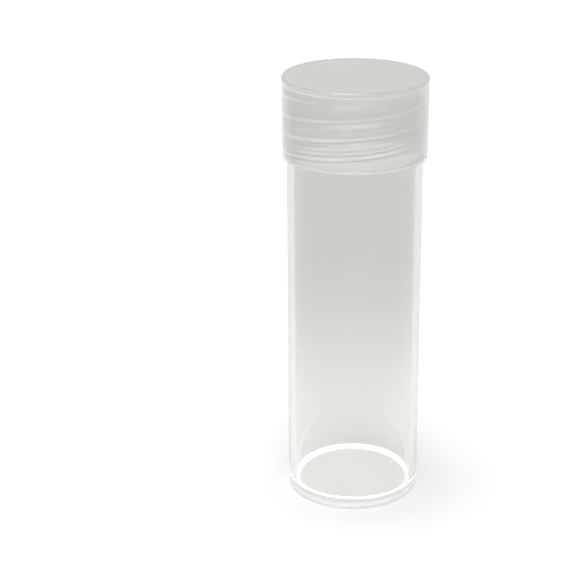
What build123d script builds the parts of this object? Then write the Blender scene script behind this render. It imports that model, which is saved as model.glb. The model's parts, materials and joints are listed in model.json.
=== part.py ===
from build123d import *
from math import copysign
import os

# Screw-cap coin tube: a clear round tube, a translucent screw cap and the loose liner that seals the two.
# Millimetres, +Z up. The origin is the middle of the foot, on the surface that the tube stands on.

# What the tube holds
COIN_DIAMETER = 17.91
COIN_THICKNESS = 1.35
COIN_COUNT = 50
COIN_SIDE_ROOM = 0.795
COIN_HEAD_ROOM = 0.8

# Tube
TUBE_WALL = 1.15
FLOOR_THICKNESS = 1.3
FLOOR_CORNER_RADIUS = 0.5
FOOT_WIDTH = 2.3
FOOT_RECESS_DEPTH = 0.35
FOOT_EDGE_RADIUS = 0.3
SHOULDER_EDGE_RADIUS = 0.15
RIM_EDGE_RADIUS = 0.2

# Cap
CAP_HEIGHT = 12.9
CAP_WALL = 0.65
CAP_TOP_THICKNESS = 0.9
CAP_TOP_EDGE_RADIUS = 0.5
CAP_LIP_EDGE_RADIUS = 0.25
CAP_RADIAL_CLEARANCE = 0.15
SKIRT_OVERLAP = 0.3

# Liner
LINER_THICKNESS = 0.5
LINER_EDGE_CLEARANCE = 0.25
LINER_EDGE_RADIUS = 0.1

# Two-start right-hand thread: ridges outside the neck and inside the skirt
THREAD_STARTS = 2
THREAD_LEAD = 6.0
THREAD_DEPTH = 0.5
RIDGE_ROOT_WIDTH = 1.2
RIDGE_CREST_WIDTH = 0.5
RIDGE_SINK = 0.2
RUN_OUT_SINK = 0.05
THREAD_END_ROOM = 0.2
RIM_LAND = 0.4

FULL_TURN = 360

# A rounding takes at most this share of the wall that it is on
ROUND_SHARE = 0.4

# Radii that follow
bore_radius = COIN_DIAMETER / 2 + COIN_SIDE_ROOM
tube_radius = bore_radius + TUBE_WALL
neck_radius = tube_radius - THREAD_DEPTH
recess_radius = tube_radius - FOOT_WIDTH
cap_bore_radius = tube_radius + CAP_RADIAL_CLEARANCE
cap_radius = cap_bore_radius + CAP_WALL
cap_crest_radius = neck_radius + CAP_RADIAL_CLEARANCE
liner_radius = cap_bore_radius - LINER_EDGE_CLEARANCE

# Heights that follow
rim_height = FLOOR_THICKNESS + COIN_COUNT * COIN_THICKNESS + COIN_HEAD_ROOM
ceiling_height = rim_height + LINER_THICKNESS
cap_top_height = ceiling_height + CAP_TOP_THICKNESS
cap_bottom_height = cap_top_height - CAP_HEIGHT
shoulder_height = cap_bottom_height + SKIRT_OVERLAP

# The cap's ridges lie midway between the neck's ridges
ridge_spacing = THREAD_LEAD / THREAD_STARTS
cap_thread_start = shoulder_height + THREAD_END_ROOM + RIDGE_ROOT_WIDTH / 2
cap_thread_end = rim_height - THREAD_END_ROOM - RIDGE_ROOT_WIDTH / 2
neck_thread_start = cap_thread_start + ridge_spacing / 2
neck_thread_end = rim_height - RIM_LAND - RIDGE_ROOT_WIDTH / 2


def turned(outline, rounds):
    """Solid of revolution about Z from (radius, height) points, with the named corners rounded first."""
    section = make_face(Polyline(*outline, close=True))
    for corner, radius in rounds:
        nearest = section.vertices().sort_by_distance((*corner, 0))[0]
        section = fillet(nearest, radius)
    return revolve(Plane.XZ * section, axis=Axis.Z)


def ridge(root_radius, crest_radius, height):
    """One helical ridge from the XY plane upwards, starting on +X. Its flanks run on into the wall."""
    depth = crest_radius - root_radius
    sunk_radius = root_radius - copysign(RIDGE_SINK, depth)
    flank_width = (RIDGE_ROOT_WIDTH - RIDGE_CREST_WIDTH) / 2
    sunk_width = RIDGE_ROOT_WIDTH + 2 * flank_width * RIDGE_SINK / abs(depth)
    section = Polyline(
        (sunk_radius, -sunk_width / 2),
        (crest_radius, -RIDGE_CREST_WIDTH / 2),
        (crest_radius, RIDGE_CREST_WIDTH / 2),
        (sunk_radius, sunk_width / 2),
        close=True,
    )
    path = Helix(pitch=THREAD_LEAD, height=height, radius=root_radius)
    return sweep(Plane.XZ * make_face(section), path=path, is_frenet=True)


def neck_run_out():
    """Cutter on +X that planes an outside ridge down to the neck, as a tangent flat."""
    flat_radius = neck_radius - RUN_OUT_SINK
    reach = tube_radius
    return Pos(flat_radius + reach / 2, 0, 0) * Box(reach, 2 * reach, ridge_spacing)


def skirt_run_out():
    """Cutter on +X that scoops an inside ridge down to the skirt, as a cylinder touching the wall."""
    scoop_radius = cap_bore_radius / 2
    return Pos(scoop_radius + RUN_OUT_SINK, 0, 0) * Cylinder(scoop_radius, ridge_spacing)


def thread(root_radius, crest_radius, start_height, end_height, run_out):
    """All starts of one thread, each ridge fading into its wall at both ends."""
    rise = end_height - start_height
    one_ridge = ridge(root_radius, crest_radius, rise)
    one_ridge -= run_out
    one_ridge -= Pos(0, 0, rise) * Rot(0, 0, FULL_TURN * rise / THREAD_LEAD) * run_out
    start_angles = [FULL_TURN * start / THREAD_STARTS for start in range(THREAD_STARTS)]
    return [Pos(0, 0, start_height) * Rot(0, 0, angle) * one_ridge for angle in start_angles]


def tube():
    """Clear moulding: recessed foot, floor, coin bore, shoulder and threaded neck."""
    foot_corner = (tube_radius, 0)
    shoulder_corner = (tube_radius, shoulder_height)
    rim_outer_corner = (neck_radius, rim_height)
    rim_inner_corner = (bore_radius, rim_height)
    floor_corner = (bore_radius, FLOOR_THICKNESS)
    outline = [
        (0, FOOT_RECESS_DEPTH),
        (recess_radius, FOOT_RECESS_DEPTH),
        (recess_radius, 0),
        foot_corner,
        shoulder_corner,
        (neck_radius, shoulder_height),
        rim_outer_corner,
        rim_inner_corner,
        floor_corner,
        (0, FLOOR_THICKNESS),
    ]
    neck_wall = neck_radius - bore_radius
    rounds = [
        (foot_corner, min(FOOT_EDGE_RADIUS, ROUND_SHARE * FOOT_WIDTH)),
        (shoulder_corner, min(SHOULDER_EDGE_RADIUS, ROUND_SHARE * THREAD_DEPTH)),
        (rim_outer_corner, min(RIM_EDGE_RADIUS, ROUND_SHARE * neck_wall)),
        (rim_inner_corner, min(RIM_EDGE_RADIUS, ROUND_SHARE * neck_wall)),
        (floor_corner, FLOOR_CORNER_RADIUS),
    ]
    ridges = thread(neck_radius, tube_radius, neck_thread_start, neck_thread_end, neck_run_out())
    return turned(outline, rounds) + ridges


def cap():
    """Translucent moulding: flat top and plain skirt with the thread inside."""
    top_corner = (cap_radius, cap_top_height)
    lip_corner = (cap_radius, cap_bottom_height)
    outline = [
        (0, ceiling_height),
        (cap_bore_radius, ceiling_height),
        (cap_bore_radius, cap_bottom_height),
        lip_corner,
        top_corner,
        (0, cap_top_height),
    ]
    rounds = [
        (top_corner, CAP_TOP_EDGE_RADIUS),
        (lip_corner, min(CAP_LIP_EDGE_RADIUS, ROUND_SHARE * CAP_WALL)),
    ]
    ridges = thread(cap_bore_radius, cap_crest_radius, cap_thread_start, cap_thread_end, skirt_run_out())
    return turned(outline, rounds) + ridges


def cap_liner():
    """Loose foam disc between the tube's rim and the cap's ceiling."""
    lower_corner = (liner_radius, rim_height)
    upper_corner = (liner_radius, ceiling_height)
    outline = [(0, rim_height), lower_corner, upper_corner, (0, ceiling_height)]
    edge_radius = min(LINER_EDGE_RADIUS, ROUND_SHARE * LINER_THICKNESS)
    return turned(outline, [(lower_corner, edge_radius), (upper_corner, edge_radius)])


os.makedirs("parts", exist_ok=True)
for make_piece in (tube, cap, cap_liner):
    export_step(make_piece(), f"parts/{make_piece.__name__}.step")
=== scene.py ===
"""Screw-cap coin tube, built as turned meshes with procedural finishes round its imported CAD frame.

Each piece is an outline of rounded corners turned about the Z axis, with the screw thread raised on it.
Lengths are in metres, in the frame's own axes.
"""

import json
import math
from typing import NamedTuple

import bpy
import numpy as np
from bpy.props import FloatProperty, FloatVectorProperty, IntProperty, PointerProperty
from bpy.types import Operator, Panel, PropertyGroup
from mathutils import Matrix, Vector


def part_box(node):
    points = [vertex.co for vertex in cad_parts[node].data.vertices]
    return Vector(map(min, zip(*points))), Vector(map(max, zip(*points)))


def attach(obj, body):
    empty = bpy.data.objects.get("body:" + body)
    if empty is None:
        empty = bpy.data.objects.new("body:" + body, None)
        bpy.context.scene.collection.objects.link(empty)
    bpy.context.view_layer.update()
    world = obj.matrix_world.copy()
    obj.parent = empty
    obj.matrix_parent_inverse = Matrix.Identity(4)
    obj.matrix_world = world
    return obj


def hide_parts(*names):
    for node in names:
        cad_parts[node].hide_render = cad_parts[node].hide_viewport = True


bl_info = {
    "name": "Coin tube",
    "version": (1, 0, 0),
    "blender": (4, 5, 0),
    "location": "View3D > Sidebar > Coin tube",
    "description": "Clear coin tube with a translucent screw cap, in a pale studio",
    "category": "Object",
}

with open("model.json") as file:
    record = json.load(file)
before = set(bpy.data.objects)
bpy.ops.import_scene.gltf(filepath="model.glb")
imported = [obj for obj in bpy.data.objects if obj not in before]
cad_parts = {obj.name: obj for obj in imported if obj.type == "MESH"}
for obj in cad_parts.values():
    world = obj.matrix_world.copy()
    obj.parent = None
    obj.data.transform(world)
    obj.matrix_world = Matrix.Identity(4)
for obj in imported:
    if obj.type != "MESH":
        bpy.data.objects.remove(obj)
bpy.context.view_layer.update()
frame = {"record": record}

MM = 0.001
FULL_TURN = 2 * math.pi

# Sizes that the frame gives
tube_low, tube_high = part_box("tube")
cap_low, cap_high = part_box("cap")
liner_low, liner_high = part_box("cap_liner")
mounts = {mount["name"]: mount for mount in frame["record"]["mounts"]}
bore_radius = mounts["coin_bore"]["dims"]["r_mm"] * MM
screw = frame["record"]["behaviour"]["couplings"][0]

# How far the cap's skirt reaches down over the tube's shoulder
SKIRT_OVERLAP = 0.3 * MM

# Mesh fineness
SEGMENTS = 240
ARC_STEPS = 8
GUARD = 0.03 * MM
THREAD_STEP = 0.07 * MM
TINY = 1e-7

# The photograph's frame, and the pixel column of the tube's axis in it
PHOTO_SIZE = 576
AXIS_COLUMN = 354.0


def length(name, description, default):
    """A size in metres that a user may change."""
    return FloatProperty(name=name, description=description, default=default, unit="LENGTH", precision=5)


def angle(name, description, degrees):
    """An angle that a user may change, given here in degrees."""
    return FloatProperty(name=name, description=description, default=math.radians(degrees), unit="ROTATION")


def share(name, description, default):
    """A value from 0 to 1 that a user may change."""
    limits = {"min": 0, "max": 1, "subtype": "FACTOR"}
    return FloatProperty(name=name, description=description, default=default, **limits)


def colour(name, description, default):
    """A linear colour that a user may change."""
    limits = {"min": 0, "max": 1, "subtype": "COLOR"}
    return FloatVectorProperty(name=name, description=description, default=default, **limits)


class ThreadSettings(PropertyGroup):
    """The two-start screw thread that the tube and the cap share."""

    starts: IntProperty(name="Starts", description="Ridges that wind side by side", default=2, min=1)
    lead: length("Lead", "Rise of one ridge in a full turn", screw["ratio"] * FULL_TURN)
    depth: length("Depth", "Height of a ridge over its wall", 0.5 * MM)
    root_width: length("Root width", "Width of a ridge where it meets its wall", 1.2 * MM)
    crest_width: length("Crest width", "Width of a ridge at its crest", 0.5 * MM)
    end_room: length("End room", "Gap above and below the cap's ridges", 0.2 * MM)
    rim_land: length("Rim land", "Plain neck above the tube's ridges", 0.4 * MM)


class TubeSettings(PropertyGroup):
    """The clear tube."""

    radius: length("Outer radius", "Outside of the wall", tube_high.x)
    bore: length("Bore radius", "Inside of the wall", bore_radius)
    rim: length("Rim height", "Top of the neck", tube_high.z)
    rim_round: length("Rim edge", "Rounding of the rim", 0.2 * MM)
    floor: length("Floor height", "Top of the floor", 1.3 * MM)
    floor_round: length("Floor corner", "Rounding between floor and wall", 0.5 * MM)
    foot_width: length("Foot width", "Width of the standing ring", 2.3 * MM)
    foot_round: length("Foot edge", "Rounding of the outer bottom edge", 0.3 * MM)
    recess: length("Foot recess", "Depth of the hollow under the floor", 0.35 * MM)
    recess_round: length("Recess edge", "Rounding of the recess's corners", 0.06 * MM)
    shoulder: length("Shoulder height", "Where the wall steps in to the neck", cap_low.z + SKIRT_OVERLAP)
    shoulder_round: length("Shoulder edge", "Rounding of the shoulder's corners", 0.15 * MM)
    # Painted shade: the tube's tint darkens from the foot tint up to this darker neck tint, standing in for
    # shade seen through the upper tube.
    neck_shade_tint: colour("Neck tint", "What one wall does to white light near the neck", (0.772, 0.76, 0.746))
    foot_tint: colour("Foot tint", "What one wall does to white light near the foot", (0.958, 0.963, 0.949))
    gloss: colour("Gloss", "Share of the usual reflection that a face shows head-on", (0.25, 0.25, 0.25))
    depth_tint: colour("Depth tint", "Colour that deep plastic takes on", (0.35, 0.4, 0.3))
    absorption: FloatProperty(name="Absorption", description="How fast the plastic dims light", default=40.0)
    ring_width: length("Ring width", "Width of the white ring round the floor", 0.8 * MM)
    ring_rise: length("Ring rise", "How far the white ring climbs the wall", 0.64 * MM)
    frost: colour("Frost", "Colour of the white ring", (0.96, 0.96, 0.96))
    haze: share("Floor haze", "How white the floor is inside the ring", 0.36)
    # Painted light: the white ring, the floor haze and the underside glow by this much, though no lamp
    # lights them.
    painted_glow: share("Ring glow", "Light that the wall carries down to the ring", 0.62)


class CapSettings(PropertyGroup):
    """The translucent cap."""

    radius: length("Outer radius", "Outside of the skirt", cap_high.x)
    top: length("Top height", "Top face", cap_high.z)
    bevel: length("Top bevel", "Width of the bevel round the top", 0.25 * MM)
    bevel_round: length("Bevel edge", "Rounding of the bevel's two edges", 0.12 * MM)
    bottom: length("Bottom height", "Lower edge of the skirt", cap_low.z)
    lip_round: length("Lip edge", "Rounding of the skirt's outer lower edge", 0.2 * MM)
    mouth_round: length("Mouth edge", "Rounding that leads the neck into the skirt", 0.4 * MM)
    wall: length("Wall", "Thickness of the skirt", 0.65 * MM)
    ceiling: length("Ceiling height", "Underside of the top", liner_high.z)
    ceiling_round: length("Ceiling corner", "Rounding between ceiling and skirt", 0.1 * MM)
    tint: colour("Tint", "Natural colour of the milky plastic", (0.96, 0.97, 0.865))
    lip_tint: colour("Lip tint", "Warmer colour low on the skirt", (0.92, 0.90, 0.85))
    # Painted highlight: tint and strength of the whiter, less clear shader painted in lines over the ridges,
    # at the ceiling's height and round the lip, standing in for light scattered in the thicker plastic and
    # for edge highlights.
    highlight_tint: colour("Thick tint", "Colour of the ridges and edges", (0.95, 0.96, 0.86))
    clearness: share("Clearness", "Share of light that passes through", 0.65)
    density: share("Density", "How much whiter the thick places are", 0.2)


class LinerSettings(PropertyGroup):
    """The loose foam disc under the cap's top."""

    radius: length("Radius", "Outside of the disc", liner_high.x)
    bottom: length("Bottom height", "Face on the rim", liner_low.z)
    top: length("Top height", "Face on the cap's ceiling", liner_high.z)
    edge_round: length("Edge", "Rounding of the disc's edges", 0.1 * MM)
    air: length("Air gap", "Room left at each face", 0.02 * MM)
    tint: colour("Tint", "Colour of the foam", (0.54, 0.55, 0.43))


class StageSettings(PropertyGroup):
    """Floor, lights and camera."""

    lens: FloatProperty(name="Lens", description="Focal length of the camera", default=102.0, unit="CAMERA")
    distance: length("Camera distance", "From the tube's axis, along the floor", 250.2 * MM)
    height: length("Camera height", "Above the floor", 133.0 * MM)
    pitch: angle("Pitch", "Downward tilt", 21.355)
    roll: angle("Roll", "Sideways tilt", 0.43)
    floor: colour("Floor", "Colour of the floor", (0.965, 0.965, 0.965))
    surround: colour("Surround", "Soft light of the room", (0.78, 0.78, 0.78))


class Grain(NamedTuple):
    """A noise: its features a metre, its octaves, and the share of those features along each axis."""

    scale: float
    octaves: float
    shares: tuple = (1.0, 1.0, 1.0)


class Relief(NamedTuple):
    """How strongly a finish tilts its normal, and how high its relief stands."""

    strength: float
    height: float


class Value:
    """One output in a shader. Arithmetic on numbers adds Math nodes to the finish."""

    def __init__(self, finish, socket):
        self.finish = finish
        self.socket = socket

    def math(self, operation, first, second):
        return self.finish.node("ShaderNodeMath", {"operation": operation}, {0: first, 1: second})

    def __add__(self, other):
        return self.math("ADD", self, other)

    def __radd__(self, other):
        return self.math("ADD", other, self)

    def __sub__(self, other):
        return self.math("SUBTRACT", self, other)

    def __rsub__(self, other):
        return self.math("SUBTRACT", other, self)

    def __mul__(self, other):
        return self.math("MULTIPLY", self, other)

    def __rmul__(self, other):
        return self.math("MULTIPLY", other, self)

    def __pow__(self, other):
        return self.math("POWER", self, other)

    def __rpow__(self, other):
        return self.math("POWER", other, self)

    def __mod__(self, other):
        return self.math("FLOORED_MODULO", self, other)

    def __rmod__(self, other):
        return self.math("FLOORED_MODULO", other, self)

    def __abs__(self):
        return self.math("ABSOLUTE", self, 0.0)


class Finish:
    """One procedural material."""

    def __init__(self, name):
        self.material = bpy.data.materials.new(name)
        self.material.use_nodes = True
        self.tree = self.material.node_tree
        self.tree.nodes.clear()
        self.place = self.node("ShaderNodeTexCoord", out="Object")

    def node(self, kind, settings=None, inputs=None, out=0):
        """Adds a node: its settings first, then the values or links of its sockets. Gives one output."""
        made = self.tree.nodes.new(kind)
        for key, value in (settings or {}).items():
            setattr(made, key, value)
        for key, value in (inputs or {}).items():
            if isinstance(value, Value):
                self.tree.links.new(value.socket, made.inputs[key])
            else:
                made.inputs[key].default_value = value
        return None if out is None else Value(self, made.outputs[out])

    def along(self, axis):
        """The place on the piece along X, Y or Z, in its own axes."""
        return self.node("ShaderNodeSeparateXYZ", inputs={0: self.place}, out=axis)

    def radius(self):
        """Distance from the Z axis."""
        x = self.along("X")
        y = self.along("Y")
        return (x * x + y * y) ** 0.5

    def turn(self):
        """Share of a turn about the Z axis, from -0.5 to 0.5, with 0 on +X."""
        sides = {0: self.along("Y"), 1: self.along("X")}
        return self.node("ShaderNodeMath", {"operation": "ARCTAN2"}, sides) * (1 / FULL_TURN)

    def rise(self, value, start, end):
        """0 below start and 1 above end, smooth between."""
        inputs = {"Value": value, "From Min": start, "From Max": end}
        return self.node("ShaderNodeMapRange", {"interpolation_type": "SMOOTHSTEP"}, inputs)

    def band(self, value, low, high, soft):
        """1 between low and high, fading to 0 over soft outside them."""
        return self.rise(value, low - soft, low) * (1 - self.rise(value, high, high + soft))

    def noise(self, grain):
        """Noise from 0 to 1."""
        inputs = {0: self.place, 1: grain.shares}
        spread = self.node("ShaderNodeVectorMath", {"operation": "MULTIPLY"}, inputs)
        inputs = {"Vector": spread, "Scale": grain.scale, "Detail": grain.octaves}
        return self.node("ShaderNodeTexNoise", inputs=inputs)

    def blend(self, amount, first, second):
        """A colour from first to second by amount."""
        inputs = {0: amount, 6: opaque(first), 7: opaque(second)}
        return self.node("ShaderNodeMix", {"data_type": "RGBA"}, inputs, out=2)

    def mottle(self, amount, rgb, tones):
        """A colour that goes from a darker to a lighter tone of itself by amount."""
        darker, lighter = tones
        return self.blend(amount, scaled(rgb, darker), scaled(rgb, lighter))

    def bump(self, height, relief):
        """A normal from a height, where 1 stands as high as the relief says."""
        inputs = {"Height": height, "Strength": relief.strength, "Distance": relief.height}
        return self.node("ShaderNodeBump", inputs=inputs)

    def close(self, shader, depth=None):
        """Ends the material with this shader, and with what its depth does to light, if given."""
        inputs = {"Surface": shader} if depth is None else {"Surface": shader, "Volume": depth}
        self.node("ShaderNodeOutputMaterial", inputs=inputs, out=None)
        return self.material


def opaque(rgb):
    """A colour with full alpha, as colour sockets want it."""
    return (*rgb, 1.0)


def scaled(rgb, factor):
    """A darker or lighter tone of a colour."""
    return [min(1.0, channel * factor) for channel in rgb]


# Polished resin: index, flow lines drawn out along the tube, scuffs, and painted shade that darkens the tint
# towards the neck
POLYSTYRENE_INDEX = 1.59
FLOW = Grain(260, 2, (1, 1, 0.08))
SCUFFS = Grain(2400, 5, (1, 1, 0.25))
SCUFF_ONSET = 0.58
SCUFF_FULL = 0.8
BODY_SCUFFS = 0.35
FOOT_SCUFF_TOP = 3 * MM
FOOT_SCUFF_END = 9 * MM
POLISH_ROUGHNESS = 0.015
FLOW_ROUGHNESS = 0.03
SCUFF_ROUGHNESS = 0.12
SCUFF_HEIGHT = 0.15
POLISH_RELIEF = Relief(0.06, 0.05 * MM)
# Where the painted shade starts and ends up the tube, and how much it wavers.
TINT_WAVER = 4 * MM
TINT_START = 0.07
TINT_END = 0.65


def polished_resin(finish, tube):
    """Clear shader with faint flow lines, scuffs that are thickest at the foot, and painted shade that
    darkens its tint towards the neck.
    """
    height = finish.along("Z")
    flow = finish.noise(FLOW)
    scuffs = finish.noise(SCUFFS)
    near_foot = 1 - finish.rise(height, FOOT_SCUFF_TOP, FOOT_SCUFF_END)
    wear = finish.rise(scuffs, SCUFF_ONSET, SCUFF_FULL) * (BODY_SCUFFS + (1 - BODY_SCUFFS) * near_foot)
    # Painted shade: blends from the clear foot tint to the darker neck tint up the tube.
    upper = finish.rise(height + TINT_WAVER * flow, TINT_START * tube.rim, TINT_END * tube.rim)
    return finish.node(
        "ShaderNodeBsdfPrincipled",
        inputs={
            "Base Color": finish.blend(upper, tube.foot_tint, tube.neck_shade_tint),
            "Roughness": POLISH_ROUGHNESS + FLOW_ROUGHNESS * flow + SCUFF_ROUGHNESS * wear,
            "IOR": POLYSTYRENE_INDEX,
            "Specular Tint": opaque(tube.gloss),
            "Transmission Weight": 1.0,
            "Normal": finish.bump(flow + SCUFF_HEIGHT * scuffs, POLISH_RELIEF),
        },
    )


# Frosting: its grain, tones, roughness, relief and soft edges
FROST = Grain(9000, 3)
FROST_TONES = (0.96, 1.02)
FROST_ROUGHNESS = 0.5
FROST_ROUGHNESS_SPREAD = 0.2
FROST_RELIEF = Relief(0.3, 0.03 * MM)
FROST_EDGE = 0.03 * MM
RING_MARGIN = 0.1 * MM

# Underside: where its frosting ends, how dense it is, how much of the painted glow it loses and how much its
# step gets back
UNDERSIDE_MARGIN = 0.05 * MM
UNDERSIDE_FADE = 0.05 * MM
FOOT_FADE = 0.1 * MM
STEP_MARGIN = 0.04 * MM
UNDERSIDE_FROST = 0.75
UNDERSIDE_GLOW_CUT = 0.6
STEP_GLOW_GAIN = 0.2
UNLIT = (0, 0, 0)


def frost_with_painted_glow(finish, tube, underside):
    """White frosted shader with a painted glow, weaker on the underside and a little stronger on the
    recess's step.
    """
    grain = finish.noise(FROST)
    height = finish.along("Z")
    step = finish.band(height, STEP_MARGIN, tube.recess - STEP_MARGIN, FROST_EDGE)
    # Painted light: share of the painted glow, less on the underside and more on the recess's step.
    painted_glow_share = 1 - underside * (UNDERSIDE_GLOW_CUT - STEP_GLOW_GAIN * step)
    return finish.node(
        "ShaderNodeBsdfPrincipled",
        inputs={
            "Base Color": finish.mottle(grain, tube.frost, FROST_TONES),
            "Roughness": FROST_ROUGHNESS + FROST_ROUGHNESS_SPREAD * grain,
            # Painted light: emission that makes the frosting glow, though it is no lamp.
            "Emission Color": finish.blend(painted_glow_share, UNLIT, tube.frost),
            "Emission Strength": tube.painted_glow,
            "Normal": finish.bump(grain, FROST_RELIEF),
        },
    )


def tube_underside(finish, tube):
    """1 on the recess and the standing ring, up to the foot's rounded edge."""
    top = tube.recess + UNDERSIDE_MARGIN
    foot_edge = tube.radius - tube.foot_round
    low = 1 - finish.rise(finish.along("Z"), top, top + UNDERSIDE_FADE)
    return low * (1 - finish.rise(finish.radius(), foot_edge - FOOT_FADE, foot_edge))


def floor_frosting(finish, tube):
    """1 on the white ring in the corner of floor and wall, and hazy on the floor inside it."""
    radius = finish.radius()
    ring_inside = tube.bore - tube.ring_width
    ring_top = tube.floor + tube.ring_rise
    corner = finish.band(finish.along("Z"), tube.floor - RING_MARGIN, ring_top, FROST_EDGE)
    ring = finish.band(radius, ring_inside, tube.bore + RING_MARGIN, FROST_EDGE)
    inside = 1 - finish.rise(radius, ring_inside - FROST_EDGE, ring_inside)
    return corner * (ring + tube.haze * inside)


def clear_plastic(tube):
    """Glossy moulded polystyrene, frosted white round its floor and on its underside, where a painted glow
    brightens the frosting.
    """
    finish = Finish("clear_polystyrene")
    underside = tube_underside(finish, tube)
    frosting = floor_frosting(finish, tube) + UNDERSIDE_FROST * underside
    clear = polished_resin(finish, tube)
    frosted = frost_with_painted_glow(finish, tube, underside)
    shader = finish.node("ShaderNodeMixShader", inputs={0: frosting, 1: clear, 2: frosted})
    inputs = {"Color": opaque(tube.depth_tint), "Density": tube.absorption}
    return finish.close(shader, finish.node("ShaderNodeVolumeAbsorption", inputs=inputs))


# Milky resin: index, grain with scratches drawn out along Y, satin roughness and relief
POLYETHYLENE_INDEX = 1.51
CLOUDS = Grain(320, 3)
SATIN = Grain(5200, 4)
SCRATCHES = Grain(1900, 4, (1, 0.12, 1))
SCRATCH_ONSET = 0.55
SCRATCH_FULL = 0.75
SATIN_HEIGHT = 0.6
SCRATCH_HEIGHT = 0.4
MILKY_RELIEF = Relief(0.2, 0.03 * MM)
MILKY_ROUGHNESS = 0.13
SATIN_ROUGHNESS = 0.10
CLOUD_ROUGHNESS = 0.04
COAT_ROUGHNESS = 0.07

# How far light spreads in it, by colour, in the plain skirt and in the painted highlight lines, and what
# those lines let through
SPREAD_BY_COLOUR = (1.0, 1.0, 0.9)
THIN_SPREAD = 2.0 * MM
HIGHLIGHT_SPREAD = 1.0 * MM
HIGHLIGHT_CLEARNESS = 0.2
HIGHLIGHT_TONES = (0.98, 1.02)

# Where the skirt's warmer tint gives way, above its lower edge and above its middle
LIP_TINT_WAVER = 3 * MM
LIP_TINT_START = 2 * MM
LIP_TINT_END = 3 * MM

# Painted highlights: lines along the ridges, patchy and fainter on +X as painted light from one side, a line
# at the ceiling's height, and the lip
RIDGE_LINE = 0.45 * MM
RIDGE_FADE = 0.5 * MM
PATCHES = Grain(110, 2)
PATCH_ONSET = 0.3
PATCH_FULL = 0.62
PATCH_LEAST = 0.35
# Painted light: where the painted highlights fade from the lit −X side towards +X.
LIT_SIDE_START = 0.1
LIT_SIDE_END = 0.35
LIT_SIDE_LEAST = 0.3
CEILING_HIGHLIGHT_WIDTH = 0.1 * MM
CEILING_HIGHLIGHT_FADE = 0.15 * MM
CEILING_HIGHLIGHT_SHARE = 0.7
LIP_HIGHLIGHT_TOP = 0.5 * MM
LIP_HIGHLIGHT_END = 0.8 * MM
LIP_HIGHLIGHT_SHARE = 1.8


def ridge_lines(finish, thread, low, high):
    """1 along the middle of the thread's ridges, which climb from low to high."""
    height = finish.along("Z")
    spacing = thread.lead / thread.starts
    passes = (height - low) * (1 / spacing) - finish.turn() * thread.starts
    off_ridge = spacing * abs((passes + 0.5) % 1.0 - 0.5)
    return (1 - finish.rise(off_ridge, 0.0, RIDGE_LINE)) * finish.band(height, low, high, RIDGE_FADE)


def painted_highlight_lines(finish, cap, ridges):
    """How much painted highlight the cap gets on its ridges, at its ceiling's height and round its lip,
    fainter towards +X.
    """
    height = finish.along("Z")
    patches = PATCH_LEAST + finish.rise(finish.noise(PATCHES), PATCH_ONSET, PATCH_FULL)
    # Painted light: the lines show more on −X and fade towards +X, as if lit from one side.
    side = LIT_SIDE_LEAST + finish.rise(abs(finish.turn()), LIT_SIDE_START, LIT_SIDE_END)
    # Painted highlight: a line at the ceiling's height.
    ceiling_highlight = finish.band(height, cap.ceiling, cap.ceiling + CEILING_HIGHLIGHT_WIDTH, CEILING_HIGHLIGHT_FADE)
    # Painted highlight: a band round the lip.
    lip_highlight = 1 - finish.rise(height, cap.bottom + LIP_HIGHLIGHT_TOP, cap.bottom + LIP_HIGHLIGHT_END)
    return cap.density * (patches * side * (ridges + CEILING_HIGHLIGHT_SHARE * ceiling_highlight) + LIP_HIGHLIGHT_SHARE * lip_highlight)


def milky_plastic(cap, thread, low, high):
    """Natural polyethylene: satin, translucent and a little cloudy, with painted highlights along the
    ridges, at the ceiling's height and round the lip.

    The thread's ridges thicken the skirt from low to high.
    """
    finish = Finish("milky_polyethylene")
    clouds = finish.noise(CLOUDS)
    satin = finish.noise(SATIN)
    scratches = finish.rise(finish.noise(SCRATCHES), SCRATCH_ONSET, SCRATCH_FULL)
    ridges = ridge_lines(finish, thread, low, high)
    roughness = MILKY_ROUGHNESS + SATIN_ROUGHNESS * satin + CLOUD_ROUGHNESS * clouds
    normal = finish.bump(SATIN_HEIGHT * satin + SCRATCH_HEIGHT * scratches - ridges, MILKY_RELIEF)

    def resin(tint, clearness, spread):
        """Satin shader that lets this share of light through and spreads the rest this far."""
        return finish.node(
            "ShaderNodeBsdfPrincipled",
            inputs={
                "Base Color": tint,
                "Roughness": roughness,
                "IOR": POLYETHYLENE_INDEX,
                "Transmission Weight": clearness,
                "Subsurface Weight": 1.0,
                "Subsurface Radius": SPREAD_BY_COLOUR,
                "Subsurface Scale": spread,
                "Coat Weight": 1.0,
                "Coat Roughness": COAT_ROUGHNESS,
                "Coat IOR": POLYETHYLENE_INDEX,
                "Normal": normal,
            },
        )

    middle = (cap.top + cap.bottom) / 2
    wavering = finish.along("Z") + LIP_TINT_WAVER * clouds
    upper = finish.rise(wavering, cap.bottom + LIP_TINT_START, middle + LIP_TINT_END)
    thin = resin(finish.blend(upper, cap.lip_tint, cap.tint), cap.clearness, THIN_SPREAD)
    # Painted highlight: a whiter, less clear shader mixed in along the painted lines.
    highlight_shader = resin(finish.mottle(clouds, cap.highlight_tint, HIGHLIGHT_TONES), HIGHLIGHT_CLEARNESS, HIGHLIGHT_SPREAD)
    inputs = {0: painted_highlight_lines(finish, cap, ridges), 1: thin, 2: highlight_shader}
    return finish.close(finish.node("ShaderNodeMixShader", inputs=inputs))


# Foam: cells a metre, tone, roughness, relief and how far light spreads in it
FOAM_CELLS = 3200.0
FOAM_TONE = Grain(700, 3)
FOAM_TONES = (0.93, 1.03)
FOAM_ROUGHNESS = 0.75
FOAM_ROUGHNESS_SPREAD = 0.15
FOAM_RELIEF = Relief(0.4, 0.05 * MM)
FOAM_SPREAD_BY_COLOUR = (1.0, 1.0, 1.0)
FOAM_SPREAD = 2.0 * MM


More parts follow.
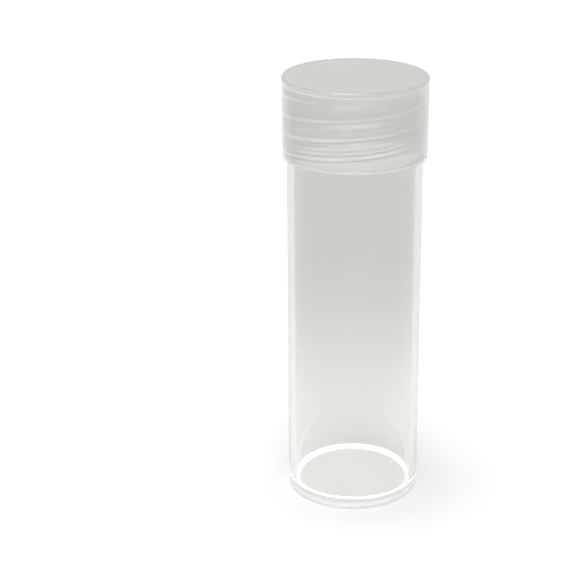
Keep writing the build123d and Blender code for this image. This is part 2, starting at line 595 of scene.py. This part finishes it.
def foam(liner):
    """Matt closed-cell foam."""
    finish = Finish("closed_cell_foam")
    cells = finish.node("ShaderNodeTexVoronoi", inputs={"Vector": finish.place, "Scale": FOAM_CELLS})
    shader = finish.node(
        "ShaderNodeBsdfPrincipled",
        inputs={
            "Base Color": finish.mottle(finish.noise(FOAM_TONE), liner.tint, FOAM_TONES),
            "Roughness": FOAM_ROUGHNESS + FOAM_ROUGHNESS_SPREAD * cells,
            "Subsurface Weight": 1.0,
            "Subsurface Radius": FOAM_SPREAD_BY_COLOUR,
            "Subsurface Scale": FOAM_SPREAD,
            "Normal": finish.bump(cells, FOAM_RELIEF),
        },
    )
    return finish.close(shader)


# Floor: tooth and tone of the board, roughness, relief and shine
FLOOR_TOOTH = Grain(1500, 4)
FLOOR_TONE = Grain(8, 2)
FLOOR_TONES = (0.99, 1.01)
FLOOR_ROUGHNESS = 0.8
FLOOR_ROUGHNESS_SPREAD = 0.1
FLOOR_RELIEF = Relief(0.05, 0.05 * MM)
FLOOR_SHINE = 0.2


def pale_floor(stage):
    """Matt white board."""
    finish = Finish("pale_floor")
    tooth = finish.noise(FLOOR_TOOTH)
    shader = finish.node(
        "ShaderNodeBsdfPrincipled",
        inputs={
            "Base Color": finish.mottle(finish.noise(FLOOR_TONE), stage.floor, FLOOR_TONES),
            "Roughness": FLOOR_ROUGHNESS + FLOOR_ROUGHNESS_SPREAD * tooth,
            "Specular IOR Level": FLOOR_SHINE,
            "Normal": finish.bump(tooth, FLOOR_RELIEF),
        },
    )
    return finish.close(shader)


def arc(centre, first, last, sweep):
    """Points on an arc about centre, between two spokes that stand sweep radians apart."""
    points = []
    for step in range(ARC_STEPS + 1):
        swept = sweep * step / ARC_STEPS
        spoke = (first * math.sin(sweep - swept) + last * math.sin(swept)) / math.sin(sweep)
        points.append(centre + spoke)
    return points


def rounded_outline(corners):
    """Points along corners given as (radius, height, rounding), from the axis and back to it.

    A guard point beside each arc keeps the shading of the straight runs straight.
    """
    places = [Vector((radius, height)) for radius, height, rounding in corners]
    points = [places[0]]
    for number in range(1, len(corners) - 1):
        corner = places[number]
        rounding = corners[number][2]
        back = (places[number - 1] - corner).normalized()
        onward = (places[number + 1] - corner).normalized()
        half_angle = back.angle(onward) / 2
        reach = rounding / math.tan(half_angle)
        centre = corner + (back + onward).normalized() * rounding / math.sin(half_angle)
        first = corner + back * reach - centre
        last = corner + onward * reach - centre
        points.append(corner + back * (reach + GUARD))
        points += arc(centre, first, last, math.pi - 2 * half_angle)
        points.append(corner + onward * (reach + GUARD))
    points.append(places[-1])
    return points


def divided(points, radius):
    """The outline with its upright run at this radius cut into thread-sized steps."""
    finer = [points[0]]
    for here, onward in zip(points, points[1:]):
        count = 1
        if abs(here.x - radius) < TINY and abs(onward.x - radius) < TINY:
            count = math.ceil((onward - here).length / THREAD_STEP)
        finer += [here.lerp(onward, step / count) for step in range(1, count)]
        finer.append(onward)
    return finer


def ridge_heights(thread, angles, height, low, high, wall_radius):
    """How far the thread stands out round a ring at this height. Its ridges climb from low to high."""
    flank_width = (thread.root_width - thread.crest_width) / 2
    heights = np.zeros_like(angles)
    for start in range(thread.starts):
        turn = (angles / FULL_TURN - start / thread.starts) % 1.0
        lowest_pass = low + thread.lead * turn
        centre = lowest_pass + thread.lead * np.round((height - lowest_pass) / thread.lead)
        nearest_end = np.minimum(centre - low, high - centre)
        end_angle = np.clip(nearest_end / thread.lead * FULL_TURN, 0, math.pi / 2)
        run_out = wall_radius * (1 - np.cos(end_angle))
        flank = np.clip((thread.root_width / 2 - abs(height - centre)) / flank_width, 0, 1)
        ridge = thread.depth * flank * flank * (3 - 2 * flank)
        heights = np.maximum(heights, np.minimum(ridge, run_out))
    return heights


def turned_mesh(name, points, relief=None):
    """A closed mesh from an outline turned about Z.

    relief(angles, radius, height) says how far each vertex of a ring stands out from its radius.
    """
    columns = np.arange(SEGMENTS)
    following = np.roll(columns, -1)
    angles = columns * FULL_TURN / SEGMENTS
    vertices = [np.array([[0.0, 0.0, points[0].y]])]
    faces = []
    for number, point in enumerate(points[1:-1]):
        radii = np.full(SEGMENTS, point.x)
        if relief:
            radii = radii + relief(angles, point.x, point.y)
        ring = [radii * np.cos(angles), radii * np.sin(angles), np.full(SEGMENTS, point.y)]
        vertices.append(np.column_stack(ring))
        first = 1 + number * SEGMENTS
        if number == 0:
            corners = [np.zeros_like(columns), first + following, first + columns]
        else:
            below = first - SEGMENTS
            corners = [below + columns, below + following, first + following, first + columns]
        faces += np.column_stack(corners).tolist()
    top = first + SEGMENTS
    vertices.append(np.array([[0.0, 0.0, points[-1].y]]))
    faces += np.column_stack([first + columns, first + following, np.full(SEGMENTS, top)]).tolist()
    mesh = bpy.data.meshes.new(name)
    mesh.from_pydata(np.concatenate(vertices).tolist(), [], faces)
    mesh.shade_smooth()
    return mesh


def place_piece(name, mesh, material, body, node):
    """Puts a mesh in the scene, riding on its body in place of its CAD node."""
    mesh.materials.append(material)
    piece = bpy.data.objects.new(name, mesh)
    bpy.context.scene.collection.objects.link(piece)
    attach(piece, body)
    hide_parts(node)


def cap_thread_range(thread, tube):
    """Lowest and highest centre of the cap's ridges."""
    margin = thread.end_room + thread.root_width / 2
    return tube.shoulder + margin, tube.rim - margin


def neck_thread_range(thread, tube):
    """Lowest and highest centre of the neck's ridges, which lie midway between the cap's."""
    low = cap_thread_range(thread, tube)[0] + thread.lead / thread.starts / 2
    return low, tube.rim - thread.rim_land - thread.root_width / 2


class COINTUBE_OT_tube(Operator):
    """Build the clear tube with its threaded neck"""

    bl_idname = "coin_tube.tube"
    bl_label = "Clear tube"

    def execute(self, context):
        tube = context.scene.coin_tube
        thread = context.scene.coin_tube_thread
        neck = tube.radius - thread.depth
        foot_inside = tube.radius - tube.foot_width
        outline = rounded_outline([
            (0, tube.recess, 0),
            (foot_inside, tube.recess, tube.recess_round),
            (foot_inside, 0, tube.recess_round),
            (tube.radius, 0, tube.foot_round),
            (tube.radius, tube.shoulder, tube.shoulder_round),
            (neck, tube.shoulder, tube.shoulder_round),
            (neck, tube.rim, tube.rim_round),
            (tube.bore, tube.rim, tube.rim_round),
            (tube.bore, tube.floor, tube.floor_round),
            (0, tube.floor, 0),
        ])
        low, high = neck_thread_range(thread, tube)

        def ridges(angles, radius, height):
            if abs(radius - neck) > TINY:
                return 0
            return ridge_heights(thread, angles, height, low, high, neck)

        mesh = turned_mesh("clear_tube", divided(outline, neck), ridges)
        place_piece("clear_tube", mesh, clear_plastic(tube), "tube", "tube")
        return {"FINISHED"}


class COINTUBE_OT_cap(Operator):
    """Build the translucent cap with the thread inside its skirt"""

    bl_idname = "coin_tube.cap"
    bl_label = "Screw cap"

    def execute(self, context):
        cap = context.scene.coin_tube_cap
        thread = context.scene.coin_tube_thread
        skirt_bore = cap.radius - cap.wall
        outline = rounded_outline([
            (0, cap.ceiling, 0),
            (skirt_bore, cap.ceiling, cap.ceiling_round),
            (skirt_bore, cap.bottom, cap.mouth_round),
            (cap.radius, cap.bottom, cap.lip_round),
            (cap.radius, cap.top - cap.bevel, cap.bevel_round),
            (cap.radius - cap.bevel, cap.top, cap.bevel_round),
            (0, cap.top, 0),
        ])
        low, high = cap_thread_range(thread, context.scene.coin_tube)

        def ridges(angles, radius, height):
            if abs(radius - skirt_bore) > TINY:
                return 0
            return -ridge_heights(thread, angles, height, low, high, skirt_bore)

        mesh = turned_mesh("screw_cap", divided(outline, skirt_bore), ridges)
        plastic = milky_plastic(cap, thread, low, high)
        place_piece("screw_cap", mesh, plastic, "cap", "cap")
        return {"FINISHED"}


class COINTUBE_OT_liner(Operator):
    """Build the loose foam disc that seals the cap on the rim"""

    bl_idname = "coin_tube.liner"
    bl_label = "Foam liner"

    def execute(self, context):
        liner = context.scene.coin_tube_liner
        bottom = liner.bottom + liner.air
        top = liner.top - liner.air
        outline = rounded_outline([
            (0, bottom, 0),
            (liner.radius, bottom, liner.edge_round),
            (liner.radius, top, liner.edge_round),
            (0, top, 0),
        ])
        mesh = turned_mesh("foam_disc", outline)
        place_piece("foam_disc", mesh, foam(liner), "cap_liner", "cap_liner")
        return {"FINISHED"}


class SoftLight(NamedTuple):
    """A square area light: its place, its side in metres, its watts, and whether gloss mirrors it."""

    name: str
    place: tuple
    side: float
    watts: float
    mirrored: bool


# Studio: lights and where they aim, the floor's half side and drop, and the camera's own values
SOFT_LIGHTS = [
    SoftLight("ceiling_light", (-0.2, 0, 1.6), side=0.9, watts=7.2, mirrored=True),
    SoftLight("front_light", (0.1, -2.0, 0.8), side=2.0, watts=22.0, mirrored=False),
]
LIGHT_AIM = Vector((0, 0, 40 * MM))
LIGHT_BOUNCES = 24
FLOOR_REACH = 3.0
FLOOR_DROP = 0.05 * MM
SENSOR_WIDTH = 36
NEAREST_VIEW = 0.01


class COINTUBE_OT_stage(Operator):
    """Build the floor, the soft lights and the camera"""

    bl_idname = "coin_tube.stage"
    bl_label = "Studio"

    def execute(self, context):
        stage = context.scene.coin_tube_stage
        self.lay_floor(context.scene, stage)
        self.light_room(context.scene, stage)
        for soft_light in SOFT_LIGHTS:
            self.hang_light(context.scene, soft_light)
        self.set_camera(context.scene, stage)
        return {"FINISHED"}

    def lay_floor(self, scene, stage):
        """Lays a square board just under the tube's foot."""
        sides = [(-1, -1), (1, -1), (1, 1), (-1, 1)]
        corners = [(x * FLOOR_REACH, y * FLOOR_REACH, -FLOOR_DROP) for x, y in sides]
        mesh = bpy.data.meshes.new("floor")
        mesh.from_pydata(corners, [], [(0, 1, 2, 3)])
        mesh.materials.append(pale_floor(stage))
        floor = bpy.data.objects.new("floor", mesh)
        scene.collection.objects.link(floor)

    def light_room(self, scene, stage):
        """Fills the room with soft light, which may pass through many faces of the plastic."""
        world = bpy.data.worlds.new("studio")
        world.use_nodes = True
        world.node_tree.nodes["Background"].inputs["Color"].default_value = opaque(stage.surround)
        scene.world = world
        scene.view_settings.view_transform = "Standard"
        scene.cycles.max_bounces = LIGHT_BOUNCES
        scene.cycles.transmission_bounces = LIGHT_BOUNCES

    def hang_light(self, scene, soft_light):
        """Hangs one soft light that faces the tube."""
        light = bpy.data.lights.new(soft_light.name, "AREA")
        light.size = soft_light.side
        light.energy = soft_light.watts
        lamp = bpy.data.objects.new(soft_light.name, light)
        lamp.location = soft_light.place
        lamp.visible_glossy = soft_light.mirrored
        lamp.rotation_euler = (LIGHT_AIM - lamp.location).to_track_quat("-Z", "Y").to_euler()
        scene.collection.objects.link(lamp)

    def set_camera(self, scene, stage):
        """Sets the camera where the photograph was taken from."""
        camera = bpy.data.cameras.new("camera")
        camera.lens = stage.lens
        camera.sensor_width = SENSOR_WIDTH
        camera.shift_x = (PHOTO_SIZE / 2 - AXIS_COLUMN) / PHOTO_SIZE
        camera.clip_start = NEAREST_VIEW
        eye = bpy.data.objects.new("camera", camera)
        tilt = Matrix.Rotation(math.pi / 2 - stage.pitch, 4, "X") @ Matrix.Rotation(stage.roll, 4, "Z")
        eye.matrix_world = Matrix.Translation((0, -stage.distance, stage.height)) @ tilt
        scene.collection.objects.link(eye)
        scene.camera = eye


class COINTUBE_PT_sidebar(Panel):
    """Lists the pieces and their settings"""

    bl_label = "Coin tube"
    bl_idname = "COINTUBE_PT_sidebar"
    bl_space_type = "VIEW_3D"
    bl_region_type = "UI"
    bl_category = "Coin tube"

    def draw(self, context):
        for operator, groups in PIECES:
            box = self.layout.box()
            box.operator(operator.bl_idname)
            for settings in groups:
                group = getattr(context.scene, settings)
                for name in group.__annotations__:
                    box.prop(group, name)


SETTINGS = {
    "coin_tube_thread": ThreadSettings,
    "coin_tube": TubeSettings,
    "coin_tube_cap": CapSettings,
    "coin_tube_liner": LinerSettings,
    "coin_tube_stage": StageSettings,
}
PIECES = [
    (COINTUBE_OT_tube, ["coin_tube", "coin_tube_thread"]),
    (COINTUBE_OT_cap, ["coin_tube_cap"]),
    (COINTUBE_OT_liner, ["coin_tube_liner"]),
    (COINTUBE_OT_stage, ["coin_tube_stage"]),
]
CLASSES = [*SETTINGS.values(), *(operator for operator, groups in PIECES), COINTUBE_PT_sidebar]


def register():
    for entry in CLASSES:
        bpy.utils.register_class(entry)
    for name, group in SETTINGS.items():
        setattr(bpy.types.Scene, name, PointerProperty(type=group))


def unregister():
    for name in SETTINGS:
        delattr(bpy.types.Scene, name)
    for entry in reversed(CLASSES):
        bpy.utils.unregister_class(entry)


def main():
    register()
    bpy.ops.coin_tube.tube()
    bpy.ops.coin_tube.cap()
    bpy.ops.coin_tube.liner()
    bpy.ops.coin_tube.stage()


if __name__ == "__main__":
    main()
